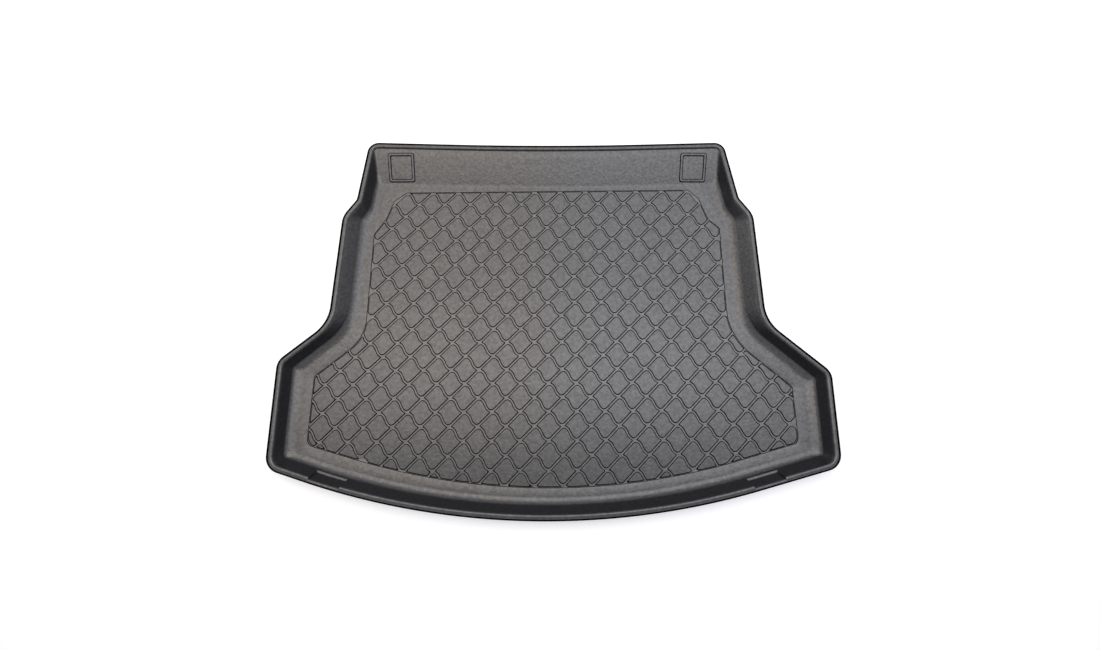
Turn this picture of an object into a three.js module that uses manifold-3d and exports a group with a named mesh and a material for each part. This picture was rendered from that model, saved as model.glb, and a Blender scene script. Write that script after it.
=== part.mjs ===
// Car boot liner: one thermoformed plastic tray with a rolled lip, a ramp at the seat side,
// wheel-arch pockets at the tailgate side and a raised wave-diamond tread on its floor.
// Millimetres, +Z up, +Y towards the rear seats, -Y towards the tailgate, +X to the right.
import * as THREE from 'three';
import { mergeVertices } from 'three/addons/utils/BufferGeometryUtils.js';
import Module from 'manifold-3d';

const wasm = await Module();
wasm.setup();

// Sheet, lip and walls
const SHEET = 3; // thickness of the formed sheet
const RIM_HEIGHT = 48; // top of the lip above the boot floor
const LIP_WIDTH = 15; // outer edge of the lip to the top of the wall
const LIP_SKIRT = 7; // how far the outer edge turns down
const LIP_EDGE_RADIUS = 3.5; // rounding of the outer edge
const LIP_WALL_RADIUS = 3.5; // rounding from the lip into the wall
const FOOT_RISE = 10; // height of the concave rounding at the foot of the walls
const RAMP_STEP = 5; // short upright face between the ramp and the lip
const RAMP_RUN = 94; // length in plan of the ramp at the seat side, with its foot rounding
const RAMP_STRAIGHT = 0.84; // share of that run before the rounding starts
const LEAST_RADIUS = 9; // least rounding of an inset corner

// Seat-side edge, as the outline's corners
const SEAT_Y = 483.2;
const SEAT_BOW = 13; // the middle of the seat-side edge lies this far in from its corners
const SEAT_BOW_RADIUS = 9500;
const SEAT_CORNER_RADIUS = 30;
const RAMP_FOOT_Y = 360; // where the side walls reach the floor

// Tailgate edge: two straight ends that run into one wide arc
const BOW_X = -55;
const BOW_Y = -563;
const BOW_RADIUS = 1890;

// The two sides. The wheel arch stands further in on the right than on the left.
const RIGHT = {
  seatX: 464, // seat-side corner
  shoulderInX: 492, // start of the small step outwards
  shoulderInY: 318,
  shoulderOutX: 526, // end of the small step
  shoulderOutY: 270,
  archX: 531, // where the wall turns out behind the wheel arch
  archY: -17,
  pocketX: 676.5, // outer wall of the pocket behind the arch
  pocketY: -144,
  gateX: 672, // corner at the tailgate
  gateY: -365.5,
};
const LEFT = {
  seatX: -502,
  shoulderInX: -521,
  shoulderInY: 313,
  shoulderOutX: -554,
  shoulderOutY: 266,
  archX: -562,
  archY: -21,
  pocketX: -676.5,
  pocketY: -117,
  gateX: -673,
  gateY: -370,
};
const SHOULDER_IN_RADIUS = 25;
const SHOULDER_OUT_RADIUS = 60;
const ARCH_RADIUS = 90;
const POCKET_RADIUS = 38;
const GATE_RADIUS = 42;

// Each stretch of wall: its run in plan and the run of its foot rounding
const WALLS = {
  seat: { run: 3, foot: RAMP_RUN },
  rampSide: { run: 13, foot: 20 },
  seatSide: { run: 13, foot: 20 },
  shoulder: { run: 12, foot: 18 },
  midSide: { run: 21, foot: 26 },
  arch: { run: 10, foot: 18 },
  pocketSide: { run: 10, foot: 18 },
  gate: { run: 14, foot: 17 },
};

// Tread: raised pads between straight channels one way and slightly wavy ones the other way
const TREAD_PITCH = 70; // pad to pad along X and along Y
const TREAD_HEIGHT = 1.5;
// Half of a pad's outline about its middle; the other half is the same turned by 180 degrees.
// It runs from the right point up the bent side and over the blunt nose to the straight side.
const HALF_PAD = [[27.5, -0.7], [10.5, 22.3], [-1, 30]];
const TREAD_TURN = THREE.MathUtils.degToRad(0.48);
const TREAD_START_X = -84.6; // a crossing of the channels
const TREAD_START_Y = 41.6;
// The tread's edge, counterclockwise from the seat side's left corner: x, y, radius, steps
const TREAD_EDGE = [
  [-402, 353, 9, 1],
  [-435, 328, 9, 1],
  [-452, 276, 15, 1],
  [-481.5, 232, 15, 2],
  [-481.5, -53, 100, 4],
  [-600, -152, 12, 2],
  [-600, -316, 25, 3],
  [-14.5, -483, 1730, 10],
  [596, -311, 22, 3],
  [596, -178, 15, 2],
  [448, -48, 150, 4],
  [448, 250, 15, 2],
  [419, 276, 20, 1],
  [397, 338, 12, 1],
  [372, 361.5, 10, 1],
];
const LEAST_PAD_AREA = 200; // a smaller offcut at the edge of the tread is left away

// Square frames moulded on the ramp
const FRAME_WIDTH = 73;
const FRAME_LENGTH = 78; // up the slope
const FRAME_BAR = 9;
const FRAME_HEIGHT = 2.4;
const FRAME_CORNER_RADIUS = 7;
const FRAME_SPACING = 800; // centre to centre
const FRAME_CENTRE_X = -16.5;
const FRAME_FROM_RIM = 61; // lip's outer edge to the frame's centre, in plan

// Hand recesses in the wall at the tailgate
const RECESS_LENGTH = 75;
const RECESS_DEPTH = 5;
const RECESS_LEDGE = 12; // height of the ledge above the floor
const RECESS_X = [-534, 502];

const floorTop = SHEET;
const rampEnd = 0.1; // share of the ramp's rise that is left where its foot rounding starts

// A closed three.js geometry as a manifold solid
function solidOf(geometry) {
  const plain = geometry.clone();
  plain.deleteAttribute('normal');
  plain.deleteAttribute('uv');
  const merged = mergeVertices(plain, 1e-4);
  return new wasm.Manifold(
    new wasm.Mesh({
      numProp: 3,
      vertProperties: new Float32Array(merged.attributes.position.array),
      triVerts: new Uint32Array(merged.index.array),
    }),
  );
}

function geometryOf(solid) {
  const mesh = solid.getMesh();
  const geometry = new THREE.BufferGeometry();
  geometry.setAttribute('position', new THREE.BufferAttribute(new Float32Array(mesh.vertProperties), 3));
  geometry.setIndex(new THREE.BufferAttribute(new Uint32Array(mesh.triVerts), 1));
  geometry.computeVertexNormals();
  return geometry;
}

// The rim's corners, counterclockwise from the middle of the seat-side edge.
// wall names the stretch that runs from this corner to the next one.
function rimCorners() {
  const corner = (x, y, radius, steps, wall, onRamp = false) => ({ x, y, radius, steps, wall, onRamp });
  const rampFootX = (s) => {
    const share = (SEAT_Y - RAMP_FOOT_Y) / (SEAT_Y - s.shoulderInY);
    return s.seatX + share * (s.shoulderInX - s.seatX);
  };
  const middleX = (LEFT.seatX + RIGHT.seatX) / 2;
  return [
    corner(middleX, SEAT_Y - SEAT_BOW, SEAT_BOW_RADIUS, 3, 'seat', true),
    corner(LEFT.seatX, SEAT_Y, SEAT_CORNER_RADIUS, 3, 'rampSide', true),
    corner(rampFootX(LEFT), RAMP_FOOT_Y, 0, 0, 'seatSide'),
    corner(LEFT.shoulderInX, LEFT.shoulderInY, SHOULDER_IN_RADIUS, 2, 'shoulder'),
    corner(LEFT.shoulderOutX, LEFT.shoulderOutY, SHOULDER_OUT_RADIUS, 2, 'midSide'),
    corner(LEFT.archX, LEFT.archY, ARCH_RADIUS, 5, 'arch'),
    corner(LEFT.pocketX, LEFT.pocketY, POCKET_RADIUS, 4, 'pocketSide'),
    corner(LEFT.gateX, LEFT.gateY, GATE_RADIUS, 4, 'gate'),
    corner(BOW_X, BOW_Y, BOW_RADIUS, 10, 'gate'),
    corner(RIGHT.gateX, RIGHT.gateY, GATE_RADIUS, 4, 'pocketSide'),
    corner(RIGHT.pocketX, RIGHT.pocketY, POCKET_RADIUS, 4, 'arch'),
    corner(RIGHT.archX, RIGHT.archY, ARCH_RADIUS, 5, 'midSide'),
    corner(RIGHT.shoulderOutX, RIGHT.shoulderOutY, SHOULDER_OUT_RADIUS, 2, 'shoulder'),
    corner(RIGHT.shoulderInX, RIGHT.shoulderInY, SHOULDER_IN_RADIUS, 2, 'seatSide'),
    corner(rampFootX(RIGHT), RAMP_FOOT_Y, 0, 0, 'rampSide'),
    corner(RIGHT.seatX, SEAT_Y, SEAT_CORNER_RADIUS, 3, 'seat', true),
  ];
}
const CORNERS = rimCorners();

// The outline through corners moved inwards by insetOf(wall) on each stretch, with rounded corners.
// The count of points doesn't change with the inset, so loops can be joined one to one.
function insetLoop(corners, insetOf) {
  const count = corners.length;
  const lines = corners.map((from, i) => {
    const to = corners[(i + 1) % count];
    const along = new THREE.Vector2(to.x - from.x, to.y - from.y).normalize();
    const inset = insetOf(from.wall);
    const start = new THREE.Vector2(from.x - along.y * inset, from.y + along.x * inset);
    return { start, along, inset };
  });
  const bends = corners.map((corner, i) => {
    const before = lines[(i + count - 1) % count];
    const after = lines[i];
    const cross = before.along.cross(after.along);
    const gap = after.start.clone().sub(before.start);
    const ahead = Math.abs(cross) < 1e-6 ? gap.dot(before.along) : gap.cross(after.along) / cross;
    const tip = before.start.clone().addScaledVector(before.along, ahead);
    const turn = Math.atan2(cross, before.along.dot(after.along));
    const inset = Math.min(before.inset, after.inset);
    const radius = Math.max(corner.radius - Math.sign(turn) * inset, LEAST_RADIUS);
    const reach = corner.steps ? radius * Math.tan(Math.abs(turn) / 2) : 0;
    return { corner, before, tip, turn, reach };
  });
  const share = bends.map((bend, i) => {
    const next = bends[(i + 1) % count];
    return Math.min(1, (0.94 * bend.tip.distanceTo(next.tip)) / (bend.reach + next.reach + 1e-9));
  });
  return bends.flatMap(({ corner, before, tip, turn, reach }, i) => {
    const { onRamp, steps } = corner;
    if (steps === 0) return [{ x: tip.x, y: tip.y, onRamp }];
    const fitted = reach * Math.min(share[i], share[(i + count - 1) % count]);
    const radius = fitted / Math.tan(turn / 2);
    const start = tip.clone().addScaledVector(before.along, -fitted);
    const centre = new THREE.Vector2(start.x - before.along.y * radius, start.y + before.along.x * radius);
    return Array.from({ length: steps + 1 }, (_, step) => {
      const { x, y } = start.clone().rotateAround(centre, (turn * step) / steps);
      return { x, y, onRamp };
    });
  });
}

// One line of the tray's section: how far in it lies on each stretch of wall, and its height
function station(insetOf, level, rampLevel = level) {
  const loop = insetLoop(CORNERS, insetOf);
  return loop.map((point) => new THREE.Vector3(point.x, point.y, point.onRamp ? rampLevel : level));
}

// The section, from the lip's outer edge over the top to the floor, and back along the underside
function trayStations() {
  const lipTop = RIM_HEIGHT;
  const lipUnder = RIM_HEIGHT - SHEET;
  const skirtEnd = RIM_HEIGHT - LIP_SKIRT;
  const rampTop = RIM_HEIGHT - RAMP_STEP;
  const rampRise = rampTop - floorTop;
  const even = (inset) => () => inset;
  const foot = (share, rampShare, back = 0) => (wall) => {
    const { run, foot: length } = WALLS[wall];
    return LIP_WIDTH + run + length * (wall === 'seat' ? rampShare : share) - back;
  };
  const top = [
    station(even(0), skirtEnd),
    station(even(0), lipTop - LIP_EDGE_RADIUS),
    station(even(0.3 * LIP_EDGE_RADIUS), lipTop - 0.3 * LIP_EDGE_RADIUS),
    station(even(LIP_EDGE_RADIUS), lipTop),
    station(even(LIP_WIDTH - LIP_WALL_RADIUS), lipTop),
    station(even(LIP_WIDTH), lipTop - LIP_WALL_RADIUS),
    station(foot(0, 0), floorTop + FOOT_RISE, rampTop),
    station(foot(0.2, RAMP_STRAIGHT), floorTop + 0.5 * FOOT_RISE, floorTop + rampEnd * rampRise),
    station(foot(0.55, 0.92), floorTop + 0.14 * FOOT_RISE, floorTop + 0.033 * rampRise),
    station(foot(1, 1), floorTop),
  ];
  const under = [
    station(foot(1, 1), 0),
    station(foot(0.38, 0.88, 0.6 * SHEET), 0.3 * FOOT_RISE),
    station(foot(0, 0, 0.88 * SHEET), floorTop + 0.86 * FOOT_RISE, rampTop - 0.88 * SHEET),
    station(even(LIP_WIDTH - 0.88 * SHEET), lipUnder - 0.9),
    station(even(LIP_WIDTH - 1.4 * SHEET), lipUnder),
    station(even(SHEET), lipUnder),
    station(even(SHEET), skirtEnd),
  ];
  return { top, under };
}

// A closed body from loops that follow one another round the section, with flat fills at the floor
function trayGeometry() {
  const { top, under } = trayStations();
  const loops = [...top, ...under];
  const size = loops[0].length;
  const positions = loops.flat().flatMap((p) => [p.x, p.y, p.z]);
  const index = [];
  const quad = (a, b, k) => {
    const next = (k + 1) % size;
    index.push(a * size + k, a * size + next, b * size + next);
    index.push(a * size + k, b * size + next, b * size + k);
  };
  const floorLoop = top.length - 1;
  for (let a = 0; a < loops.length; a += 1) {
    const b = (a + 1) % loops.length;
    if (a === floorLoop) continue;
    for (let k = 0; k < size; k += 1) quad(a, b, k);
  }
  const contour = loops[floorLoop].map((p) => new THREE.Vector2(p.x, p.y));
  const fill = THREE.ShapeUtils.triangulateShape(contour, []);
  for (const [a, b, c] of fill) {
    const up = [a, b, c].map((n) => floorLoop * size + n);
    const down = [a, c, b].map((n) => (floorLoop + 1) * size + n);
    index.push(...up, ...down);
  }
  const geometry = new THREE.BufferGeometry();
  geometry.setAttribute('position', new THREE.BufferAttribute(new Float32Array(positions), 3));
  geometry.setIndex(index);
  return geometry;
}

function prism(points, bottom, height) {
  const shape = new THREE.Shape(points.map((p) => new THREE.Vector2(p.x, p.y)));
  const geometry = new THREE.ExtrudeGeometry(shape, { depth: height, bevelEnabled: false });
  geometry.translate(0, 0, bottom);
  return geometry;
}

// The raised pads, cut off along the tread's edge
function tread() {
  const half = TREAD_PITCH / 2;
  const pad = [...HALF_PAD, ...HALF_PAD.map(([x, y]) => [-x, -y])].map(([x, y]) => new THREE.Vector2(x, y));
  const origin = new THREE.Vector2();
  const sunk = SHEET / 2;
  const reach = Math.ceil((1.2 * RIGHT.pocketX) / half);
  const pads = [];
  for (let row = -reach; row <= reach; row += 1) {
    for (let column = -reach; column <= reach; column += 1) {
      if ((row + column) % 2 === 0) continue;
      const outline = pad.map((point) => {
        const { x, y } = new THREE.Vector2(column * half, row * half).add(point).rotateAround(origin, TREAD_TURN);
        return { x: x + TREAD_START_X, y: y + TREAD_START_Y };
      });
      pads.push(solidOf(prism(outline, floorTop - sunk, sunk + TREAD_HEIGHT)));
    }
  }
  const corners = TREAD_EDGE.map(([x, y, radius, steps]) => ({ x, y, radius, steps }));
  const edge = solidOf(prism(insetLoop(corners, () => 0), 0, floorTop + 2 * TREAD_HEIGHT));
  const whole = wasm.Manifold.union(pads).intersect(edge).decompose();
  return wasm.Manifold.union(whole.filter((one) => one.volume() > LEAST_PAD_AREA * (sunk + TREAD_HEIGHT)));
}

function roundedOblong(width, length, radius) {
  const shape = new THREE.Shape();
  const wide = width / 2 - radius;
  const long = length / 2 - radius;
  shape.absarc(wide, long, radius, 0, Math.PI / 2);
  shape.absarc(-wide, long, radius, Math.PI / 2, Math.PI);
  shape.absarc(-wide, -long, radius, Math.PI, 1.5 * Math.PI);
  shape.absarc(wide, -long, radius, 1.5 * Math.PI, 2 * Math.PI);
  shape.closePath();
  return shape;
}

// A square frame that stands proud of the ramp, half of it sunk into the sheet
function rampFrame(x) {
  const shape = roundedOblong(FRAME_WIDTH, FRAME_LENGTH, FRAME_CORNER_RADIUS);
  const opening = [FRAME_WIDTH - 2 * FRAME_BAR, FRAME_LENGTH - 2 * FRAME_BAR];
  shape.holes.push(roundedOblong(...opening, FRAME_CORNER_RADIUS / 3));
  const sunk = SHEET / 2;
  const geometry = new THREE.ExtrudeGeometry(shape, {
    depth: sunk + FRAME_HEIGHT,
    bevelEnabled: false,
    curveSegments: 3,
  });
  const rampTop = RIM_HEIGHT - RAMP_STEP;
  const slope = Math.atan2((1 - rampEnd) * (rampTop - floorTop), RAMP_STRAIGHT * RAMP_RUN);
  const down = FRAME_FROM_RIM - LIP_WIDTH - WALLS.seat.run;
  const nearMiddle = 1 - Math.abs(x - (LEFT.seatX + RIGHT.seatX) / 2) / ((RIGHT.seatX - LEFT.seatX) / 2);
  const rimY = SEAT_Y - SEAT_BOW * nearMiddle;
  geometry.translate(0, 0, -sunk);
  geometry.rotateX(slope);
  geometry.translate(x, rimY - FRAME_FROM_RIM, rampTop - down * Math.tan(slope));
  return solidOf(geometry);
}

// A section in (inset from the rim, height) swept straight along the wall at the tailgate
function gatePrism(section, x, length) {
  const rim = insetLoop(CORNERS, () => 0).filter((point) => point.y < BOW_Y / 2);
  const rimAt = (px) => {
    const i = rim.findIndex((point) => point.x > px);
    const share = (px - rim[i - 1].x) / (rim[i].x - rim[i - 1].x);
    return new THREE.Vector2(px, rim[i - 1].y + share * (rim[i].y - rim[i - 1].y));
  };
  const from = rimAt(x - length / 2);
  const to = rimAt(x + length / 2);
  const along = to.clone().sub(from).normalize();
  const middle = from.clone().add(to).divideScalar(2);
  const shape = new THREE.Shape(section.map(([inset, z]) => new THREE.Vector2(inset, z)));
  const geometry = new THREE.ExtrudeGeometry(shape, { depth: length, bevelEnabled: false });
  geometry.translate(0, 0, -length / 2);
  const inward = new THREE.Vector3(-along.y, along.x, 0);
  const up = new THREE.Vector3(0, 0, 1);
  const sweep = new THREE.Vector3(along.x, along.y, 0);
  geometry.applyMatrix4(new THREE.Matrix4().makeBasis(inward, up, sweep).setPosition(middle.x, middle.y, 0));
  return solidOf(geometry);
}

// The sheet steps outwards over a short length, which leaves a ledge near the floor
function addRecess(tray, x) {
  const wallTop = RIM_HEIGHT - LIP_WALL_RADIUS;
  const wallFoot = floorTop + FOOT_RISE;
  const wallInset = (z) => LIP_WIDTH + (WALLS.gate.run * (wallTop - z)) / (wallTop - wallFoot);
  const ledge = floorTop + RECESS_LEDGE;
  const under = ledge - SHEET;
  const lipUnder = RIM_HEIGHT - SHEET / 2;
  const bump = [
    [wallInset(under) - RECESS_DEPTH - SHEET, under],
    [wallInset(under) - SHEET / 2, under],
    [wallInset(lipUnder) - SHEET / 2, lipUnder],
    [wallInset(lipUnder) - RECESS_DEPTH - SHEET, lipUnder],
  ];
  const above = RIM_HEIGHT + SHEET;
  const room = [
    [wallInset(ledge) - RECESS_DEPTH, ledge],
    [wallInset(ledge) + 2 * RECESS_DEPTH, ledge],
    [wallInset(ledge) + 2 * RECESS_DEPTH, above],
    [wallInset(above) - RECESS_DEPTH, above],
  ];
  return tray
    .add(gatePrism(bump, x, RECESS_LENGTH + 2 * SHEET))
    .subtract(gatePrism(room, x, RECESS_LENGTH));
}

function buildLiner() {
  let liner = solidOf(trayGeometry());
  for (const x of RECESS_X) liner = addRecess(liner, x);
  for (const side of [-1, 1]) liner = liner.add(rampFrame(FRAME_CENTRE_X + (side * FRAME_SPACING) / 2));
  liner = liner.add(tread());
  const geometry = geometryOf(liner);
  geometry.computeBoundingBox();
  const middle = geometry.boundingBox.getCenter(new THREE.Vector3());
  geometry.translate(-middle.x, -middle.y, -geometry.boundingBox.min.z);
  return geometry;
}

const mouldedPlastic = new THREE.MeshStandardMaterial({ color: 0x4b4c4e, roughness: 0.5, metalness: 0 });

const liner = new THREE.Mesh(buildLiner(), mouldedPlastic);
liner.name = 'boot_liner';

const bootLiner = new THREE.Group();
bootLiner.name = 'car_boot_liner';
bootLiner.add(liner);

export default bootLiner;
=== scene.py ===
# %% [markdown]
# # A car boot liner
# A boot liner is one sheet of plastic that was heated until soft and drawn down over a mould. This
# lesson dresses such a liner: the rolled lip, the walls, the ramp at the seat side, two square frames,
# two hand recesses and a tread of raised pads. The CAD model is the frame of reference, so it is
# loaded first, and the finished liner is centred on its box.

# %% Load the CAD frame
import math

import bmesh
import bpy
import numpy as np
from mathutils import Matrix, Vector
from mathutils.geometry import delaunay_2d_cdt


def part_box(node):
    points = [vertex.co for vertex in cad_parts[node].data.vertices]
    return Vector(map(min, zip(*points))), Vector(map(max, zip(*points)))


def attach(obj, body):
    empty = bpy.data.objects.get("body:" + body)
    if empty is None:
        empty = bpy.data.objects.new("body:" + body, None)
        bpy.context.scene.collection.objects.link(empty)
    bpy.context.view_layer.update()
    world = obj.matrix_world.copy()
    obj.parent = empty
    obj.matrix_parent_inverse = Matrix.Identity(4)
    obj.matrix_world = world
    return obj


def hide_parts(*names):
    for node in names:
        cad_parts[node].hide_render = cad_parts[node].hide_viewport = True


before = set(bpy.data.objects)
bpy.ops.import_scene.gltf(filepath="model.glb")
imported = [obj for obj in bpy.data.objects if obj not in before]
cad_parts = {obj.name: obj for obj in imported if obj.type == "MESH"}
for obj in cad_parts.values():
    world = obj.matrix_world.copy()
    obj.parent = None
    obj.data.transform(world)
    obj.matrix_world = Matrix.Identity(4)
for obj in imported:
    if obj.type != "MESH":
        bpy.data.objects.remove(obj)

for name in ("Cube", "Light", "Camera"):
    if name in bpy.data.objects:
        bpy.data.objects.remove(bpy.data.objects[name])
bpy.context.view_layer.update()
liner_low, liner_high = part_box("boot_liner")

# %% [markdown]
# ## The rim as a list of corners
# The liner's outline is a polygon with rounded corners, because the mould follows straight panels of
# the car. A curve object could draw it, but the walls below need the same outline many times, a little
# further in each time. So the corners are kept as numbers in millimetres, counterclockwise from the
# middle of the seat side. Each one also names the stretch of wall that starts there.

# %% Corners of the rim, in millimetres
SHEET, RIM_HEIGHT, FLOOR_TOP = 3.0, 48.0, 3.0
SEAT_Y, SEAT_SAG, RAMP_FOOT_Y = 483.2, 13, 360.0
RAMP_RUN, RAMP_TOP = 94.0, 43.0
RAMP_STRAIGHT, STRAIGHT_DROP = 0.84, 0.9  # shares of the ramp's run and drop on its straight part


def ramp_foot_x(seat_x, shoulder_x, shoulder_y):
    """Where the straight side from the seat to the shoulder passes the ramp's foot."""
    share = (SEAT_Y - RAMP_FOOT_Y) / (SEAT_Y - shoulder_y)
    return seat_x + share * (shoulder_x - seat_x)


# x, y, radius, steps of its arc, wall that follows
RIM = [
    (-19, SEAT_Y - SEAT_SAG, 9500, 12, "seat"),
    (-502, SEAT_Y, 30, 10, "ramp_side"),
    (ramp_foot_x(-502, -521, 313), RAMP_FOOT_Y, 0, 0, "seat_side"),
    (-521, 313, 25, 7, "shoulder"),
    (-554, 266, 60, 9, "mid_side"),
    (-562, -21, 90, 12, "arch"),
    (-676.5, -117, 38, 10, "pocket_side"),
    (-673, -370, 42, 10, "gate"),
    (-55, -563, 1890, 60, "gate"),
    (672, -365.5, 42, 10, "pocket_side"),
    (676.5, -144, 38, 10, "arch"),
    (531, -17, 90, 12, "mid_side"),
    (526, 270, 60, 9, "shoulder"),
    (492, 318, 25, 7, "seat_side"),
    (ramp_foot_x(464, 492, 318), RAMP_FOOT_Y, 0, 0, "ramp_side"),
    (464, SEAT_Y, 30, 10, "seat"),
]
BOW = 8  # the corner whose wide arc is the bowed tailgate side
LEAST_RADIUS, WIDER_FROM = 9.0, 22.0  # the least rounding, and the inset from which it grows
ROOM = 0.94  # share of a side that the roundings at its ends may take
print(len(RIM), "corners, wall named", sorted({corner[4] for corner in RIM}))

# %% [markdown]
# ## Parallel outlines
# Each ring of the wall is the rim moved inwards. Moving every point along its normal would fold the
# mesh over in the tight corners, so the straight lines are moved instead, and each corner is rounded
# again between them. All rings then have the same count of points and can be joined one to one.
# Where a side gets so short that its two roundings would meet, both are made smaller.

# %% One corner of a ring
def bend_of(corners, insets, i):
    """The inset corner's tip, its two directions, its turn, and how far its rounding reaches."""
    before, after = corners[i - 1], corners[i]
    follow = corners[(i + 1) % len(corners)]
    a = np.array([after[0] - before[0], after[1] - before[1]], float)
    b = np.array([follow[0] - after[0], follow[1] - after[1]], float)
    a /= np.linalg.norm(a)
    b /= np.linalg.norm(b)
    na, nb = insets[i - 1], insets[i]
    start_a = np.array([before[0] - a[1] * na, before[1] + a[0] * na])
    start_b = np.array([after[0] - b[1] * nb, after[1] + b[0] * nb])
    cross = a[0] * b[1] - a[1] * b[0]
    gap = start_b - start_a
    ahead = gap @ a if abs(cross) < 1e-6 else (gap[0] * b[1] - gap[1] * b[0]) / cross
    turn = math.atan2(cross, a @ b)
    least = LEAST_RADIUS + 0.5 * max(0.0, min(na, nb) - WIDER_FROM)
    radius = max(after[2] - math.copysign(min(na, nb), turn), least)
    reach = radius * math.tan(abs(turn) / 2) if after[3] else 0.0
    return start_a + a * ahead, a, b, turn, reach


# %% Further points along the ramp
# after these corners: how the points are spread, and how many
BETWEEN = {0: ("end", 12), 1: ("even", 26), 14: ("even", 26), 15: ("start", 12)}
CROWD_REACH, CROWDING = 70.0, 1.5


def points_between(start, end, how, count):
    """Further points on a straight stretch: evenly spread, or crowded near one end of it."""
    if how == "even":
        return [start + (end - start) * k / (count + 1) for k in range(1, count + 1)]
    reach = CROWD_REACH / np.linalg.norm(end - start)
    near = [reach * (k / count) ** CROWDING for k in range(1, count + 1)]
    if how == "start":
        return [start + (end - start) * t for t in near]
    return [end + (start - end) * t for t in reversed(near)]


# %% One ring of the liner
def ring(corners, inset_of, shares=None, extras=None, between=None):
    """The outline moved inwards, as points, and for each point the corner it belongs to."""
    insets = [inset_of(c[4]) for c in corners]
    bends = [bend_of(corners, insets, i) for i in range(len(corners))]
    arcs = []
    for i, (tip, a, b, turn, reach) in enumerate(bends):
        steps = corners[i][3]
        if steps == 0:
            arc = [tip]
        else:
            fits = [reach]
            for j in (i - 1, (i + 1) % len(bends)):
                room = ROOM * np.linalg.norm(tip - bends[j][0])
                fits.append(reach * min(1.0, room / (reach + bends[j][4] + 1e-9)))
            fitted = min(fits)
            radius = fitted / math.tan(turn / 2)
            start = tip - a * fitted
            centre = start + radius * np.array([-a[1], a[0]])
            spoke = start - centre
            parts = np.linspace(0, 1, steps + 1) if shares is None or i != BOW else shares
            arc = []
            for part in parts:
                c, s = math.cos(turn * part), math.sin(turn * part)
                swung = np.array([c * spoke[0] - s * spoke[1], s * spoke[0] + c * spoke[1]])
                arc.append(centre + swung)
        for along in (extras or {}).get(i, []):
            base = np.array(corners[i][:2], float) + b * along
            arc.append(base + insets[i] * np.array([-b[1], b[0]]))
        arcs.append(arc)
    points, kinds = [], []
    for i, arc in enumerate(arcs):
        points.extend(arc)
        kinds.extend([i] * len(arc))
        if between and i in between:
            more = points_between(arc[-1], arcs[(i + 1) % len(arcs)][0], *between[i])
            points.extend(more)
            kinds.extend([i + 0.5] * len(more))
    return np.array(points), np.array(kinds)


# %% [markdown]
# ## Columns for the hand recesses
# The tailgate wall has two shallow recesses, so that fingers can get behind the liner. A boolean cut
# would leave a ragged mesh in the thin wall. It is cleaner to have a column of points exactly at each
# end of a recess, and to push the columns between them outwards later.

# %% Columns at the recesses' ends
RECESS_LENGTH, RECESS_X = 75.0, (-534.0, 502.0)
BREAK = 1.4  # width of the slanted end of a recess


def recess_columns():
    """Where the recesses' ends fall: shares of the bow's arc, or lengths on its straight end."""
    table = np.linspace(0, 1, 800)
    rim, _ = ring(RIM, lambda wall: 0.0, table)
    first = sum(c[3] + 1 for c in RIM[:BOW])
    xs = rim[first:first + len(table), 0]
    shares, lengths = list(np.linspace(0, 1, RIM[BOW][3] + 1)), []
    straight = np.array([RIM[BOW + 1][0] - RIM[BOW][0], RIM[BOW + 1][1] - RIM[BOW][1]], float)
    straight /= np.linalg.norm(straight)
    for middle in RECESS_X:
        for side in (-1, 1):
            for back in (0.0, BREAK):
                x = middle + side * (RECESS_LENGTH / 2 - back)
                if x < xs[-1]:
                    shares.append(float(np.interp(x, xs, table)))
                else:
                    lengths.append((x - RIM[BOW][0]) / straight[0])
    return sorted(shares), {BOW: sorted(lengths)}


BOW_SHARES, EXTRAS = recess_columns()
rim_outline, column_kinds = ring(RIM, lambda wall: 0.0, BOW_SHARES, EXTRAS, BETWEEN)
print(len(rim_outline), "columns, rim", rim_outline.min(0), rim_outline.max(0))

# %% [markdown]
# ## The section of the sheet
# On the real liner the sheet rolls over the lip, drops steeply and turns into the floor in a wide
# rounding, because hot plastic can't follow a sharp mould corner. The section is a list of stations.
# Each has its inset on every stretch of wall, its height, and its height where it lies on the ramp.
# Short arcs of stations make the roundings, so that smooth shading has real curvature to work with.

# %% Stations from the lip's outer edge to the floor
LIP_WIDTH, LIP_OUTER, LIP_INNER, SKIRT = 15.5, 4.2, 5.0, 7.0
# how far in the lip's painted near-black shade reaches from its outer roll, and how far at the tailgate
LIP_FALL, PAINTED_SHADE_REACH, GATE_PAINTED_SHADE_REACH = 0.9, 2.6, 0.3
RECESS_DEPTH, LEDGE = 4.6, 15.0
RUN = dict(seat=1.5, ramp_side=10, seat_side=10, shoulder=13, mid_side=21, arch=8.5,
           pocket_side=8.5, gate=12)
FOOT = dict(seat=RAMP_RUN, ramp_side=23, seat_side=23, shoulder=25, mid_side=26, arch=24,
            pocket_side=25, gate=20)
FOOT_TOP, WALL_TILT = 16.0, math.radians(69)
WALL_TOP = RIM_HEIGHT - 0.6 * LIP_INNER
WALL_LEVELS, RAMP_START_FALL = (43.5, 38.0, 30.0, 22.0, FOOT_TOP + 0.4), 1.8


def even(inset):
    return lambda wall: inset


def painted_shade_inset(wall):
    """How far in the painted shade on the lip's outer part reaches: less at the tailgate, where it
    faces the camera.
    """
    return LIP_OUTER + (GATE_PAINTED_SHADE_REACH if wall == "gate" else PAINTED_SHADE_REACH)


def on_wall(share):
    return lambda wall: LIP_WIDTH + RUN[wall] * share


def eased(share):
    """The share along the foot of a sloping wall, whose rounding begins at the wall's own slope."""
    turned_by = math.asin(min(1.0, (1 - share) * math.sin(WALL_TILT)))
    return 1 - math.sqrt((1 - math.cos(turned_by)) / (1 - math.cos(WALL_TILT)))


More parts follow.
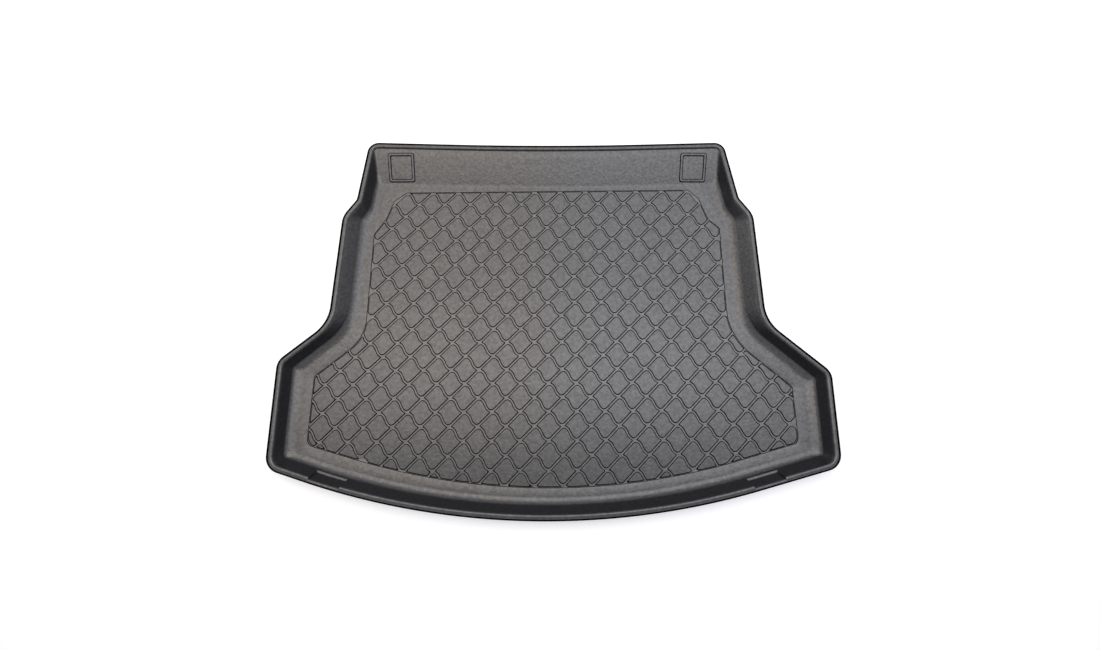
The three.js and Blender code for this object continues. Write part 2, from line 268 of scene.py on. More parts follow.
def on_foot(share, ramp_share):
    def inset(wall):
        part = {"seat": ramp_share, "mid_side": eased(share), "shoulder": eased(share)}.get(wall, share)
        return LIP_WIDTH + RUN[wall] + FOOT[wall] * part
    return inset


# %% The stations above
def top_stations():
    """Rows of (inset of each wall, height, height on the ramp, pushed out in the recesses)."""
    rows = [(even(0.0), RIM_HEIGHT - SKIRT, None, False)]
    for a in np.radians(np.linspace(0, 90, 7)):
        inset = LIP_OUTER * (1 - math.cos(a))
        rows.append((even(inset), RIM_HEIGHT - LIP_FALL - LIP_OUTER * (1 - math.sin(a)), None, False))
    rows.append((painted_shade_inset, RIM_HEIGHT - 0.75 * LIP_FALL, None, False))
    for a in np.radians(np.linspace(0, 66, 6)):
        inset = LIP_WIDTH - LIP_INNER * (1 - math.sin(a))
        rows.append((even(inset), RIM_HEIGHT - LIP_INNER * (1 - math.cos(a)), None, True))
    ramp_start = RIM_HEIGHT - RAMP_START_FALL
    for level in WALL_LEVELS:
        share = (WALL_TOP - level) / (WALL_TOP - FOOT_TOP)
        ramp_level = ramp_start + (RAMP_TOP - ramp_start) * min(1.0, share * 1.02)
        rows.append((on_wall(share), level, ramp_level, True))
    rows.append((on_wall(1.0), FOOT_TOP, RAMP_TOP, False))
    rise = RAMP_TOP - FLOOR_TOP
    for step in np.linspace(0, 1, 11)[1:]:
        tilt = WALL_TILT * (1 - step)
        share = 1 - math.sin(tilt) / math.sin(WALL_TILT)
        level = FLOOR_TOP + (FOOT_TOP - FLOOR_TOP) * (1 - math.cos(tilt)) / (1 - math.cos(WALL_TILT))
        if step < 0.5:
            ramp_share = RAMP_STRAIGHT * step / 0.5
            ramp_level = RAMP_TOP - STRAIGHT_DROP * rise * step / 0.5
        else:
            tail = (step - 0.5) / 0.5
            ramp_share = RAMP_STRAIGHT + (1 - RAMP_STRAIGHT) * tail
            ramp_level = FLOOR_TOP + (1 - STRAIGHT_DROP) * rise * (1 - tail) ** 2
        rows.append((on_foot(share, ramp_share), level, ramp_level, False))
    return rows


# %% The stations below
def underside_stations():
    """The same rows for the underside, about one sheet thickness inside, from the floor to the lip."""
    rows = [(on_foot(1, 1), 0.0, 0.0, False)]
    rows.append((lambda wall: on_foot(0.38, 0.88)(wall) - 1.8, 3.4, 3.0, False))
    rows.append((lambda wall: on_wall(1.0)(wall) - 2.6, FOOT_TOP - 1.4, RAMP_TOP - 2.6, False))
    rows.append((lambda wall: on_wall(0.94)(wall) - 2.6, LEDGE - 0.4, RAMP_TOP - 2.5, True))
    rows.append((even(LIP_WIDTH - 3.2), RIM_HEIGHT - SHEET - 2.0, None, True))
    rows.append((even(LIP_WIDTH - 5.6), RIM_HEIGHT - SHEET, None, False))
    rows.append((even(SHEET), RIM_HEIGHT - SHEET, None, False))
    rows.append((even(SHEET), RIM_HEIGHT - SKIRT, None, False))
    return rows


print(len(top_stations()), "stations above and", len(underside_stations()), "below")

# %% [markdown]
# ## Pushing out the recesses
# In the two recesses the columns are pushed outwards, against the direction in which the rings move
# in. That leaves a narrow ledge near the floor, as a hand hold has.

# %% Which columns lie in a recess
inward_ring, _ = ring(RIM, lambda wall: 10.0, BOW_SHARES, EXTRAS, BETWEEN)
inward = inward_ring - rim_outline
inward /= np.linalg.norm(inward, axis=1)[:, None]
in_recess = np.zeros(len(rim_outline), bool)
for middle in RECESS_X:
    near = np.abs(rim_outline[:, 0] - middle) < RECESS_LENGTH / 2 - BREAK + 0.05
    in_recess |= near & (rim_outline[:, 1] < -300)
print(in_recess.sum(), "columns in the recesses")

# %% [markdown]
# ## Where the side walls meet the ramp
# The ramp rises to the seat side and takes the side walls with it, so the two meet in a slanting
# valley. One height for every place solves it: that of the wall or that of the ramp, whichever is
# higher, with the valley between them rounded off, as the soft sheet rounds it.

# %% Heights on the ramp and at its sides
top_rows = top_stations()
side_line = np.array([(inset_of("ramp_side"), level) for inset_of, level, _, _ in top_rows])
ramp_line = np.array([(inset_of("seat"), level if ramp is None else ramp)
                      for inset_of, level, ramp, _ in top_rows])
side_line, ramp_line = (line[line[:, 0] > 9.5] for line in (side_line, ramp_line))
far_columns = (column_kinds <= 2) | (column_kinds >= 14)  # those on the ramp and at its sides
VALLEY_RADIUS = 13.0


def ramp_side_height(flat):
    """The height where a side wall meets the ramp: the higher of the two, the valley rounded."""
    x, y = flat[:, 0], flat[:, 1]
    middle, reach = (RIM[1][0] + RIM[15][0]) / 2, (RIM[15][0] - RIM[1][0]) / 2
    from_seat = SEAT_Y - SEAT_SAG * (1 - np.minimum(np.abs(x - middle) / reach, 1)) - y
    sides = []
    for seat, shoulder, sign in ((RIM[1], RIM[3], 1), (RIM[15], RIM[13], -1)):
        along = np.array([shoulder[0] - seat[0], shoulder[1] - seat[1]], float)
        along /= np.linalg.norm(along)
        sides.append(sign * ((x - seat[0]) * -along[1] + (y - seat[1]) * along[0]))
    wall = np.interp(np.minimum(*sides), side_line[:, 0], side_line[:, 1])
    ramp = np.interp(from_seat, ramp_line[:, 0], ramp_line[:, 1])
    low, high = np.minimum(wall, ramp), np.maximum(wall, ramp)
    soft = np.clip(np.minimum(low - FLOOR_TOP, 2.5 * (WALL_TOP - high)), 0.01, VALLEY_RADIUS)
    part = np.clip(0.5 + 0.5 * (high - low) / soft, 0, 1)
    return low + (high - low) * part + soft * part * (1 - part)


def under_height(flat):
    """The underside there, one sheet thickness below, measured square to the slope."""
    here = ramp_side_height(flat)
    slope_x = (ramp_side_height(flat + [1.0, 0]) - here)
    slope_y = (ramp_side_height(flat + [0, 1.0]) - here)
    return np.maximum(here - SHEET * np.sqrt(1 + slope_x ** 2 + slope_y ** 2), 0.0)


# %% Put the rings in space
def place(row, below=False):
    """One station's ring in space."""
    inset_of, level, ramp_level, pushed = row
    flat, kinds = ring(RIM, inset_of, BOW_SHARES, EXTRAS, BETWEEN)
    if pushed:
        flat = flat - inward * (RECESS_DEPTH * in_recess)[:, None]
    z = np.full(len(flat), level)
    if ramp_level is not None:
        z[kinds < 0.4] = ramp_level
        far = far_columns & (kinds >= 0.4)
        z[far] = (under_height if below else ramp_side_height)(flat[far])
        if below and level == 0.0:
            z[:] = 0.0
    return np.column_stack([flat, z])


top_rings = [place(row) for row in top_rows]
under_rings = [place(row, True) for row in underside_stations()]
print(len(top_rings), "rings above and", len(under_rings), "below")

# %% [markdown]
# ## One pad of the tread
# The pads are what is left between straight channels one way and wavy ones the other way. Turned by
# 45 degrees, a pad is a square with two bent sides. It is drawn in those turned coordinates as a
# rounded square, and the wave then shifts each point sideways. Two corners are blunt and two are
# pointed. A displacement texture would need millions of faces for edges this crisp.

# %% The pad's outline at a given distance inside its foot
PITCH = 70.0
CELL = PITCH / math.sqrt(2)
PAD_HALF, WAVE = 22.0, 3.2
TREAD_TURN = math.radians(0.48)
TREAD_START = np.array([-84.6, 41.6])
DIAGONAL = math.sqrt(0.5)
POINTED, BLUNT, LEAST_PAD_RADIUS = (2.2, 2), (7.0, 6), 0.7  # radius and steps of a pad's corners


def shrunk(radius, inside):
    return max(radius - 0.6 * inside, LEAST_PAD_RADIUS)


def pad_outline(inside):
    """Points round the pad, about its middle, with the foot line moved inwards."""
    half = PAD_HALF - inside
    points = []
    # corners in (across, along) of the straight channels
    for k, (radius, steps) in enumerate((POINTED, BLUNT, POINTED, BLUNT)):
        r = shrunk(radius, inside)
        sx, sy = ((1, 1), (-1, 1), (-1, -1), (1, -1))[k]
        centre = np.array([sx * (half - r), sy * (half - r)])
        for a in np.linspace(0, math.pi / 2, steps + 1):
            angle = k * math.pi / 2 + a
            points.append(centre + r * np.array([math.cos(angle), math.sin(angle)]))
        if k in (0, 2):
            nxt = half - shrunk(BLUNT[0], inside)
            for d in np.linspace(sx * (half - r), -sx * nxt, 8)[1:-1]:
                points.append(np.array([d, sy * half]))
    points = np.array(points)
    d, s = points[:, 0], points[:, 1]
    s = s - WAVE * np.sin(2 * math.pi * d / CELL)
    return np.column_stack([(s + d) * DIAGONAL, (s - d) * DIAGONAL])


# %% How far a place lies from a pad
def pad_depth(points, middle):
    """How far points lie outside the pad round middle; negative inside."""
    local = (points - middle) @ np.array([[math.cos(TREAD_TURN), -math.sin(TREAD_TURN)],
                                          [math.sin(TREAD_TURN), math.cos(TREAD_TURN)]])
    s = (local[..., 0] + local[..., 1]) * DIAGONAL
    d = (local[..., 0] - local[..., 1]) * DIAGONAL
    s = s + WAVE * np.sin(2 * math.pi * d / CELL)
    blunt = np.abs(d - s) * DIAGONAL - (PAD_HALF * math.sqrt(2) - 2.6)
    return np.maximum(np.maximum(np.abs(s), np.abs(d)) - PAD_HALF, blunt)


def turned(points):
    c, s = math.cos(TREAD_TURN), math.sin(TREAD_TURN)
    return points @ np.array([[c, s], [-s, c]])


sample = pad_outline(0.0)
print("pad", np.round(sample.max(0) - sample.min(0), 1), "mm,", len(sample), "points")

# %% [markdown]
# ## The tread's edge
# The tread ends a little before the walls, along a line that runs parallel to them. Pads on that line
# are cut by it. Their outlines are found by shooting rays from the middle of what is left and
# halving the distance until the ray meets the edge, which gives the same count of points for each
# height of the pad, whatever its shape.

# %% Cut pads
TREAD_EDGE = [(-402, 353, 9), (-435, 328, 9), (-452, 276, 15), (-481.5, 232, 15), (-481.5, -53, 100),
              (-600, -152, 12), (-600, -316, 25), (-14.5, -483, 1730), (596, -311, 22), (596, -178, 15),
              (448, -48, 150), (448, 250, 15), (419, 276, 20), (397, 338, 12), (372, 361.5, 10)]
STEP_LINES = (0.0, 1.5, 3.0)  # the pads' limit, the border step's foot and its top, outwards
edge_corners = [(x, y, r, 40 if r > 1000 else 7, "edge") for x, y, r in TREAD_EDGE]
tread_edge, step_foot, step_top = (ring(edge_corners, lambda wall: -outside)[0]
                                   for outside in STEP_LINES)
RAYS, RAY_LENGTH, HALVINGS = 48, 62.0, 18
PROBE_STEP, LEAST_PAD_AREA, HEART_DEPTH = 2.0, 50.0, 2.4
EDGE_BLEND = 1.2  # rounding where the tread's edge cuts a pad


print("tread", np.round(tread_edge.max(0) - tread_edge.min(0)), "mm")


# %% How far a place lies from the edge
def edge_depth(points):
    """How far points lie outside the tread's edge; negative inside."""
    a = tread_edge
    b = np.roll(tread_edge, -1, axis=0)
    flat = points.reshape(-1, 2)
    span = b - a
    offset = flat[:, None, :] - a[None]
    t = np.clip((offset * span).sum(-1) / (span * span).sum(-1), 0, 1)
    gap = np.linalg.norm(offset - t[..., None] * span, axis=-1).min(1)
    crosses = (a[:, 1] > flat[:, None, 1]) != (b[:, 1] > flat[:, None, 1])
    with np.errstate(divide="ignore", invalid="ignore"):
        x_at = a[:, 0] + (flat[:, None, 1] - a[:, 1]) * span[:, 0] / span[:, 1]
    inside = (crosses & (flat[:, None, 0] < x_at)).sum(1) % 2 == 1
    return np.where(inside, -gap, gap).reshape(points.shape[:-1])


def cut_depth(points, middle):
    """How far points lie outside what the tread's edge leaves of a pad; negative inside."""
    a, b = pad_depth(points, middle), edge_depth(points)
    h = np.clip(0.5 + 0.5 * (a - b) / EDGE_BLEND, 0, 1)
    return b + (a - b) * h + EDGE_BLEND * h * (1 - h)


# %% The outlines of a cut pad
def cut_outlines(middle, insides):
    """The rings of a pad that the tread's edge cuts, or None if too little is left."""
    across, along = np.arange(-30, 31, PROBE_STEP), np.arange(-31, 32, PROBE_STEP)
    grid = np.stack(np.meshgrid(across, along), -1).reshape(-1, 2)
    left = grid[cut_depth(grid + middle, middle) < 0]
    if len(left) * PROBE_STEP ** 2 < LEAST_PAD_AREA:
        return None
    deep = left[cut_depth(left + middle, middle) < -HEART_DEPTH]
    if len(deep) < 2:
        return None
    heart = deep.mean(0) + middle
    turns = np.linspace(0, 2 * math.pi, RAYS, endpoint=False)
    rays = np.column_stack([np.cos(turns), np.sin(turns)])
    rings = []
    for inside in insides:
        low, high = np.zeros(RAYS), np.full(RAYS, RAY_LENGTH)
        for _ in range(HALVINGS):
            half = (low + high) / 2
            out = cut_depth(heart + rays * half[:, None], middle) > -inside
            high, low = np.where(out, half, high), np.where(out, low, half)
        rings.append(heart + rays * low[:, None])
    return rings


# %% [markdown]
# ## All the pads
# The rows and columns of the grid are walked once. A pad that lies well inside the edge is whole, one
# outside it is skipped, and the rest are cut. Each pad is a stack of rings: a soft foot, a slanted
# side and a rounded shoulder, which is what a vacuum-formed pad looks like. The floor between the
# pads lies a little lower than the rest, so the tread ends in a small step.

# %% Stack the rings of each pad
TREAD_HEIGHT = 1.6
# distance inside the foot line and height of each ring of a pad
PAD_SECTION = [(-1.3, 0.0), (-1.0, 0.0), (-0.85, 0.08), (1.15, 1.4), (1.4, 1.52), (1.7, TREAD_HEIGHT),
               (2.0, TREAD_HEIGHT)]
SIDE_BAND, TREAD_SUNK = 2, 0.6
FARTHEST_PAD = (660, 470)


def all_pads():
    """Every pad as a stack of outlines, one for each row of PAD_SECTION."""
    insides = [inside for inside, _ in PAD_SECTION]
    whole = [pad_outline(inside) for inside in insides]
    stacks, counts = [], [0, 0]
    for row in range(-24, 25):
        for column in range(-26, 27):
            if (row + column) % 2 == 0:
                continue
            middle = turned(np.array([column, row]) * PITCH / 2) + TREAD_START
            if (np.abs(middle) > FARTHEST_PAD).any():
                continue
            corners = turned(whole[0]) + middle
            depth = edge_depth(np.vstack([corners[::3], middle[None]]))
            if depth.max() < -0.5:
                stacks.append([turned(outline) + middle for outline in whole])
                counts[0] += 1
            elif depth.min() < -2:
                rings = cut_outlines(middle, insides)
                if rings:
                    stacks.append(rings)
                    counts[1] += 1
    print(counts[0], "whole pads and", counts[1], "cut ones")
    return stacks


pads = all_pads()

# %% [markdown]
# ## Joining the rings into a shell
# The rings become one closed mesh, with quads between neighbours. Each face notes the finish it will
# get, because later nothing tells a pad's side from its top. The floor is left open for now.

# %% Walls, lip and pads
vertices, faces = [], []
# painted shade on the lip's edge and on steep sides, and a painted highlight in the channels
PAINTED_SHADE_EDGE, PAINTED_SHADE_SIDE, CHANNEL_PAINTED_HIGHLIGHT = 1, 2, 3  # finishes, in the order of the mesh's material slots
finish_of = {}  # face number: its finish; a face that isn't listed is plain grained plastic


def add_ring(points):
    first = len(vertices)
    vertices.extend([tuple(p) for p in points])
    return range(first, first + len(points))


def add_level_ring(outline, level):
    return add_ring(np.column_stack([outline, np.full(len(outline), level)]))


def bridge(a, b, shading=None):
    """A closed band of quads between two rings of as many points."""
    n = len(a)
    for k in range(n):
        j = (k + 1) % n
        if shading is not None:
            finish_of[len(faces)] = shading
        faces.append((a[k], a[j], b[j], b[k]))


PAINTED_SHADE_BANDS = 8  # bands of the lip, from its outer edge, painted near-black as the shade of the cut edge and outer roll
top_ids = [add_ring(r) for r in top_rings]
under_ids = [add_ring(r) for r in under_rings]
# the lip's outer bands get the near-black finish that paints their shade
for number, (a, b) in enumerate(zip(top_ids, top_ids[1:])):
    bridge(a, b, PAINTED_SHADE_EDGE if number < PAINTED_SHADE_BANDS else None)
for a, b in zip(under_ids, under_ids[1:]):
    bridge(a, b)
bridge(under_ids[-1], top_ids[0])

foot_ids = []
for stack in pads:
    rings = []
    for outline, (_, height) in zip(stack, PAD_SECTION):
        rings.append(add_level_ring(outline, FLOOR_TOP - TREAD_SUNK + height))
    # each pad's steep side band is painted near-black as shade
    for number, (a, b) in enumerate(zip(rings, rings[1:])):
        bridge(a, b, PAINTED_SHADE_SIDE if number == SIDE_BAND else None)
    faces.append(tuple(rings[-1]))
    foot_ids.append(rings[0])
print(len(faces), "faces before the floor")

# %% [markdown]
# ## Filling the floor between the pads
# The flat floor has hundreds of holes where the pads rise. A constrained Delaunay triangulation takes
# the floor's outline and every pad's foot line and fills only what lies between them, so the pads grow
# out of the floor without a seam, as on a real formed sheet. The tread's floor ends in a small step,
# whose side is painted near-black as shade and draws the thin line round the tread.

# %% Fill the floor and the underside
def fill_between(rim_ids, hole_ids, shading=None):
    """Flat triangles between a loop and the loops inside it."""
    flat, loops, ids = [], [], []
    for loop in [rim_ids, *hole_ids]:
        loops.append(list(range(len(flat), len(flat) + len(loop))))
        flat.extend(Vector(vertices[i][:2]) for i in loop)
        ids.extend(loop)
    _, _, triangles, origin, _, source = delaunay_2d_cdt(flat, [], loops, 1, 1e-5)
    back_to = {k: ids[olds[0]] for k, olds in enumerate(origin) if olds}
    for triangle, inputs in zip(triangles, source):
        if list(inputs) == [0]:
            if shading is not None:
                finish_of[len(faces)] = shading
            faces.append(tuple(back_to[k] for k in triangle))


step_ids = [add_level_ring(step_top, FLOOR_TOP), add_level_ring(step_foot, FLOOR_TOP - TREAD_SUNK)]
# the step's side is painted near-black as shade, which draws the line round the tread
bridge(*step_ids, PAINTED_SHADE_SIDE)
fill_between(top_ids[-1], step_ids[:1])
# the floor between the pads gets the glossier copy, a painted highlight
fill_between(step_ids[1], foot_ids, CHANNEL_PAINTED_HIGHLIGHT)
outer_flat = [Vector(vertices[i][:2]) for i in under_ids[0]]
_, _, triangles, origin, _, _ = delaunay_2d_cdt(outer_flat, [], [list(range(len(outer_flat)))], 1, 1e-5)
for triangle in triangles:
    faces.append(tuple(under_ids[0][origin[k][0]] for k in reversed(triangle)))
print(len(vertices), "vertices,", len(faces), "faces")

# %% [markdown]
# ## The square frames on the ramp
# Two raised frames stand on the ramp, where the real sheet was drawn round a bar in the mould. Each
# is a band of rings that follow a rounded square: up the outer side, over the bar and down the inner
# side. They are laid on the ramp's slope and sunk a little, so that no gap shows under them.

# %% Frames
FRAME_WIDTH, FRAME_LENGTH, FRAME_BAR, FRAME_HEIGHT = 73.0, 78.0, 9.5, 2.4
# inset, height and corner radius of each ring, from the outer foot to the top of the bar
FRAME_SECTION = [(0.0, -1.2, 7.0), (0.1, 0.05, 7.0), (2.2, 2.0, 5.8), (2.6, 2.28, 5.4),
                 (3.1, FRAME_HEIGHT, 5.0)]
FRAME_SIDE_BANDS = (1, 7)
FRAME_X = (-416.5, 383.5)
FRAME_FROM_RIM = 61.0
RAMP_SLOPE = math.atan2(STRAIGHT_DROP * (RAMP_TOP - FLOOR_TOP), RAMP_STRAIGHT * RAMP_RUN)
BAR_INNER_RADIUS = 2.4


def rounded_oblong(width, length, radius, steps=6):
    wide, long = width / 2 - radius, length / 2 - radius
    points = []
    for k, (sx, sy) in enumerate(((1, 1), (-1, 1), (-1, -1), (1, -1))):
        for a in np.linspace(0, math.pi / 2, steps + 1) + k * math.pi / 2:
            points.append((sx * wide + radius * math.cos(a), sy * long + radius * math.sin(a)))
    return np.array(points)


def add_frame(x):
    inner_side = [(FRAME_BAR - inset, z, BAR_INNER_RADIUS) for inset, z, _ in reversed(FRAME_SECTION)]
    middle = (RIM[1][0] + RIM[-1][0]) / 2
    reach = (RIM[-1][0] - RIM[1][0]) / 2
    rim_y = SEAT_Y - SEAT_SAG * (1 - abs(x - middle) / reach)
    down = FRAME_FROM_RIM - LIP_WIDTH - RUN["seat"]
    z0 = RAMP_TOP - down * math.tan(RAMP_SLOPE)
    lean = math.copysign(SEAT_SAG / reach, x - middle)
    rings = []
    for inset, height, radius in FRAME_SECTION + inner_side:
        flat = rounded_oblong(FRAME_WIDTH - 2 * inset, FRAME_LENGTH - 2 * inset, radius)
        u, v = flat[:, 0], flat[:, 1]
        along = v * math.cos(RAMP_SLOPE) - height * math.sin(RAMP_SLOPE)
        z = z0 + v * math.sin(RAMP_SLOPE) + height * math.cos(RAMP_SLOPE)
        z -= u * lean * math.tan(RAMP_SLOPE)
        rings.append(add_ring(np.column_stack([x + u, rim_y - FRAME_FROM_RIM + along, z])))
    # the frames' steep sides are painted near-black as shade
    for number, (a, b) in enumerate(zip(rings, rings[1:])):
        bridge(a, b, PAINTED_SHADE_SIDE if number in FRAME_SIDE_BANDS else None)
    bridge(rings[-1], rings[0])


for frame_x in FRAME_X:
    add_frame(frame_x)
print(len(FRAME_X), "frames on a slope of", round(math.degrees(RAMP_SLOPE), 1), "degrees")

# %% [markdown]
# ## From numbers to a mesh
# The lists are turned into one mesh in metres. It is moved so that its box is centred as the CAD box
# is. Smooth shading is limited by angle, which keeps the recess edges crisp and the lip soft.

# %% The liner's mesh
lowest = rim_outline.min(0)
highest = rim_outline.max(0)
cad_middle = (np.array(liner_low) + np.array(liner_high))[:2] / 2
shift = cad_middle - (lowest + highest) / 2000
mesh = bpy.data.meshes.new("formed_liner")
points = np.array(vertices) / 1000
points[:, :2] += shift
mesh.from_pydata(points.tolist(), [], faces)
mesh.update()
print("moved by", shift * 1000, "mm to the CAD middle")
liner = bpy.data.objects.new("formed_liner", mesh)
bpy.context.collection.objects.link(liner)

bm = bmesh.new()
bm.from_mesh(mesh)
bmesh.ops.recalc_face_normals(bm, faces=bm.faces)
loose = [e for e in bm.edges if len(e.link_faces) != 2]
bm.to_mesh(mesh)
bm.free()
mesh.shade_smooth()
mesh.set_sharp_from_angle(angle=math.radians(38))
print("open edges:", len(loose), "triangles:", sum(len(p.vertices) - 2 for p in mesh.polygons))

# %% [markdown]
# ## The plastic
# The real liner is high-density polyethylene, coloured black in the mass and formed against a blasted
# mould. That gives the eye a dark, almost neutral grey with a soft, even sheen, and a fine leather-like
# grain that breaks up each highlight. One shader does it: a dark base, a medium roughness, a bump and
# flecks of stronger and weaker sheen. The grain is about 1.6 mm across on such sheets, and is drawn at
# 3 mm and more, because the camera stands too far off to show it finer. The channels of the tread get
# a copy with more sheen than the rest, a painted highlight that makes them look brighter than the pads.

# %% Colour and node helpers
def linear(hex_code):
    """An sRGB hex colour as linear RGBA."""
    values = [int(hex_code[i:i + 2], 16) / 255 for i in (1, 3, 5)]
    return [v / 12.92 if v <= 0.04045 else ((v + 0.055) / 1.055) ** 2.4 for v in values] + [1.0]


def add_node(tree, kind, settings=None, values=None, links=None):
    node = tree.nodes.new(kind)
    for name, value in (settings or {}).items():
        setattr(node, name, value)
    for name, value in (values or {}).items():
        node.inputs[name].default_value = value
    for name, socket in (links or {}).items():
        tree.links.new(socket, node.inputs[name])
    return node


print("middle grey is", np.round(linear("#808080"), 3))

# %% Grained black polyethylene
GRAIN_MM, FLECK_MM, MOTTLE_MM = 3.0, 3.6, 9.0
NOISES = ((GRAIN_MM, 3.0, 0.6), (FLECK_MM, 2.0, 0.5), (MOTTLE_MM, 4.0, 0.6))  # size, detail, roughness


def grained_plastic(name, sheen_low, sheen_high):
    plastic = bpy.data.materials.new(name)
    plastic.use_nodes = True
    tree = plastic.node_tree
    tree.nodes.clear()
    where = add_node(tree, "ShaderNodeTexCoord").outputs["Object"]
    grain, flecks, mottle = (
        add_node(tree, "ShaderNodeTexNoise", None,
                 {"Scale": 1000 / size_mm / 2, "Detail": detail, "Roughness": roughness},
                 {"Vector": where})
        for size_mm, detail, roughness in NOISES)
    tone = add_node(tree, "ShaderNodeMix", {"data_type": "RGBA"},
                    {"A": linear("#08090D"), "B": linear("#1C1D23")}, {"Factor": grain.outputs["Fac"]})
    sheen = add_node(tree, "ShaderNodeMapRange", None,
                     {"From Min": 0.3, "From Max": 0.7, "To Min": sheen_low, "To Max": sheen_high},
                     {"Value": flecks.outputs["Fac"]})
    gloss = add_node(tree, "ShaderNodeMapRange", None, {"To Min": 0.27, "To Max": 0.35},
                     {"Value": mottle.outputs["Fac"]})
    relief = add_node(tree, "ShaderNodeBump", None, {"Strength": 0.6, "Distance": 0.0008},
                      {"Height": grain.outputs["Fac"]})
    shader = add_node(tree, "ShaderNodeBsdfPrincipled", None, {"IOR": 1.54},
                      {"Base Color": tone.outputs[2], "Roughness": gloss.outputs["Result"],
                       "Specular IOR Level": sheen.outputs["Result"],
                       "Normal": relief.outputs["Normal"]})
    add_node(tree, "ShaderNodeOutputMaterial", None, None, {"Surface": shader.outputs["BSDF"]})
    return plastic


mesh.materials.append(grained_plastic("moulded_polyethylene_grained", 0.58, 0.84))
print(mesh.materials[0].name, len(mesh.materials[0].node_tree.nodes), "nodes")

# %% [markdown]
# ## Painted shade on the trimmed edge and the sides of the pads
# After forming, the sheet is cut round with a knife. The cut edge and the tight roll above it are
# painted near-black, without grain or sheen, as the shade that shows as a thin black line round the
# whole liner.
# The sides of the pads and frames and the step round the tread are painted nearly black the same way,
# as the shade on their steep faces. It is all the same plastic; each gets its own dull, darker shader.

# %% Painted shade: the cut edge and the sides
DRAG_MARKS = 400.0  # noise scale: faint marks about 2.5 mm apart


def painted_shade_plastic(name, dark, light, roughness, specular):
    plastic = bpy.data.materials.new(name)
    plastic.use_nodes = True
    tree = plastic.node_tree
    tree.nodes.clear()
    where = add_node(tree, "ShaderNodeTexCoord").outputs["Object"]
    drag = add_node(tree, "ShaderNodeTexNoise", None, {"Scale": DRAG_MARKS, "Detail": 2.0},
                    {"Vector": where})
    tone = add_node(tree, "ShaderNodeMix", {"data_type": "RGBA"},
                    {"A": linear(dark), "B": linear(light)}, {"Factor": drag.outputs["Fac"]})
    shader = add_node(tree, "ShaderNodeBsdfPrincipled", None,
                      {"Roughness": roughness, "Specular IOR Level": specular},
                      {"Base Color": tone.outputs[2]})
    add_node(tree, "ShaderNodeOutputMaterial", None, None, {"Surface": shader.outputs["BSDF"]})
    return plastic


# in the order of PAINTED_SHADE_EDGE, PAINTED_SHADE_SIDE and CHANNEL_PAINTED_HIGHLIGHT
# near-black, sheenless finishes that paint the shade on the lip's outer roll and on the steep sides
mesh.materials.append(painted_shade_plastic("cut_edge_painted_shade", "#040405", "#0B0B0C", 0.8, 0.0))
mesh.materials.append(painted_shade_plastic("side_painted_shade", "#020203", "#0B0B0D", 0.6, 0.03))
# the channels' copy with more sheen paints the highlight they show
mesh.materials.append(grained_plastic("channel_painted_highlight", 0.74, 0.98))
for number, finish in finish_of.items():
    mesh.polygons[number].material_index = finish
for slot, material in enumerate(mesh.materials):
    print(material.name, sum(p.material_index == slot for p in mesh.polygons), "faces")
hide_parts("boot_liner")
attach(liner, "root")

# %% [markdown]
# ## Floor, light and background
# The photograph shows the liner on plain white, lit from above. A white floor carries it here and
# keeps its soft shadow. Two broad soft boxes hang overhead, towards the seat side, and two smaller
# ones below them. Black plastic looks grey where it mirrors such a light, and dark where it turns
# away from it, so their places shape the liner's tones more than its colour does.

# %% Stage
FLOOR_REACH, FLOOR_Z = 9, -0.0005  # metres; just under the liner, so that the two faces never fight
PAPER_GLOW, ROOM_FILL = 0.55, 0.15


def seen_directly(tree):
    """1 for a ray from the camera, or one that a mirror or glass passes on, and 0 for any other."""
    ray = add_node(tree, "ShaderNodeLightPath")
    seen = add_node(tree, "ShaderNodeMath", {"operation": "MAXIMUM"}, None,
                    {0: ray.outputs["Is Camera Ray"], 1: ray.outputs["Is Glossy Ray"]})
    seen = add_node(tree, "ShaderNodeMath", {"operation": "MAXIMUM"}, None,
                    {0: seen.outputs[0], 1: ray.outputs["Is Transmission Ray"]})
    return seen.outputs[0]


floor_mesh = bpy.data.meshes.new("studio_floor")
floor_corners = [(x * FLOOR_REACH, y * FLOOR_REACH, FLOOR_Z)
                 for x, y in ((-1, -1), (1, -1), (1, 1), (-1, 1))]
floor_mesh.from_pydata(floor_corners, [], [(0, 1, 2, 3)])
floor = bpy.data.objects.new("studio_floor", floor_mesh)
bpy.context.collection.objects.link(floor)
paper = bpy.data.materials.new("white_studio_paper")
paper.use_nodes = True
tree = paper.node_tree
tree.nodes.clear()
seen = seen_directly(tree)
matt = add_node(tree, "ShaderNodeBsdfDiffuse", None, {"Color": linear("#E6E6E6")})
glow = add_node(tree, "ShaderNodeEmission", None, {"Color": linear("#FFFFFF")})
lift = add_node(tree, "ShaderNodeMath", {"operation": "MULTIPLY"}, {1: PAPER_GLOW}, {0: seen})
tree.links.new(lift.outputs[0], glow.inputs["Strength"])
both = add_node(tree, "ShaderNodeAddShader", None, None, {0: matt.outputs[0], 1: glow.outputs[0]})
add_node(tree, "ShaderNodeOutputMaterial", None, None, {"Surface": both.outputs[0]})
floor_mesh.materials.append(paper)
print(paper.name, 2 * FLOOR_REACH, "m wide")

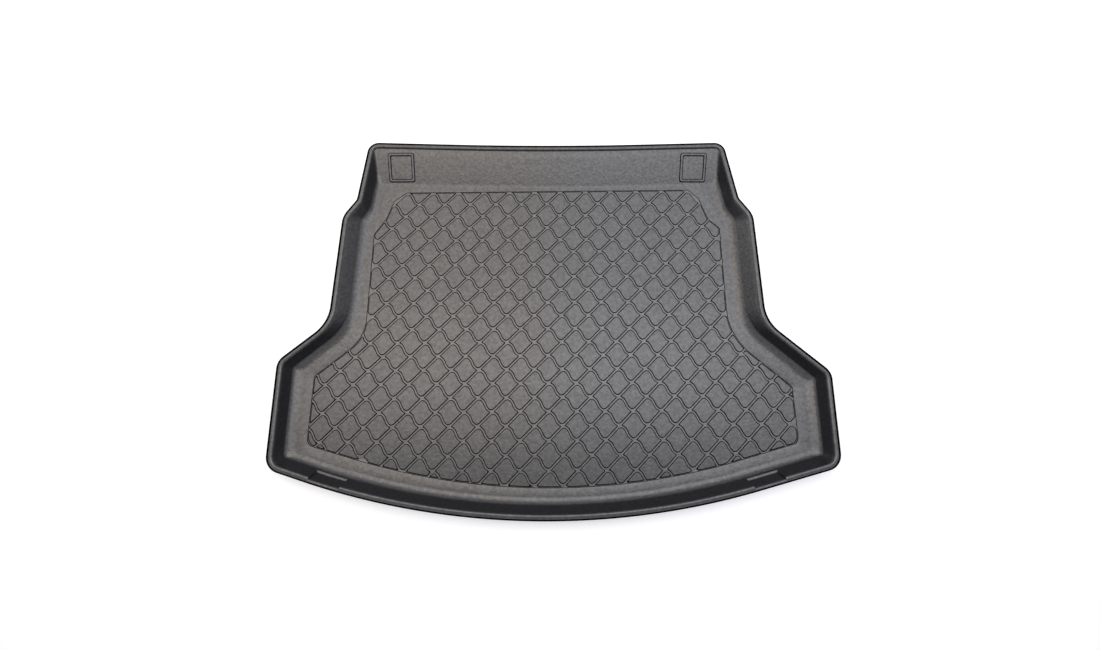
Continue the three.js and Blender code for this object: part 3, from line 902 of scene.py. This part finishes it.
# %% The room round it
world = bpy.data.worlds.new("white_room")
bpy.context.scene.world = world
world.use_nodes = True
tree = world.node_tree
tree.nodes.clear()
seen = seen_directly(tree)
level = add_node(tree, "ShaderNodeMapRange", None, {"To Min": ROOM_FILL, "To Max": 1.0},
                 {"Value": seen})
hue = add_node(tree, "ShaderNodeMix", {"data_type": "RGBA"},
               {"A": linear("#AFC3F5"), "B": linear("#FFFFFF")}, {"Factor": seen})
sky = add_node(tree, "ShaderNodeBackground", None, None,
               {"Color": hue.outputs[2], "Strength": level.outputs["Result"]})
add_node(tree, "ShaderNodeOutputWorld", None, None, {"Surface": sky.outputs[0]})
print(world.name, "fills with", ROOM_FILL)


# %% Soft boxes
def soft_box(name, size, radiance, colour, place, aim):
    """A rectangular lamp, its sides and place in metres; radiance 1 shows as white in a mirror."""
    lamp = bpy.data.lights.new(name, "AREA")
    lamp.shape = "RECTANGLE"
    lamp.color = linear(colour)[:3]
    lamp.size, lamp.size_y = size
    lamp.energy = radiance * math.pi * size[0] * size[1]
    rig = bpy.data.objects.new(name, lamp)
    rig.location = place
    rig.rotation_euler = (Vector(aim) - Vector(place)).to_track_quat("-Z", "Y").to_euler()
    bpy.context.collection.objects.link(rig)
    print(name, size, "m at", place)


WARM, COOL = "#FFF3E6", "#FAFAFF"
for side, colour in ((-1, WARM), (1, COOL)):
    for name, (width, length), radiance, y, z in (("broad_soft_box", (2.5, 2.85), 1.98, 0.97, 2.4),
                                                  ("inner_soft_box", (1.1, 0.55), 0.8, 0.1, 1.35)):
        x = side * width / 2
        soft_box(name, (width, length), radiance, colour, (x, y, z), (x, y, 0))
soft_box("low_soft_box", (1.8, 0.9), 1.0, "#FFFFFF", (-2.0, 1.7, 0.8), (0, 0, 0))

# %% [markdown]
# ## Camera
# The camera's place was solved from the tread: its grid is square, so the way it narrows in the
# photograph gives the height, the tilt and the lens. It hangs 1.15 m over the floor, close to the
# tailgate side, and looks almost straight down.

# %% Camera at the photograph's angle
FOCAL_PIXELS, FRAME_PIXELS, SENSOR_MM = 454.015, 1100, 36.0
EYE_PLACE, TILT_DEGREES = (-0.008794, -0.271368, 1.146905), 90 - 77.472
eye = bpy.data.cameras.new("camera")
eye.sensor_width = SENSOR_MM
eye.lens = FOCAL_PIXELS / FRAME_PIXELS * SENSOR_MM
camera = bpy.data.objects.new("camera", eye)
camera.location = EYE_PLACE
camera.rotation_euler = (math.radians(TILT_DEGREES), 0, 0)
bpy.context.collection.objects.link(camera)
bpy.context.scene.camera = camera
bpy.context.scene.view_settings.view_transform = "Standard"
print("lens", round(eye.lens, 2), "mm, at", EYE_PLACE)
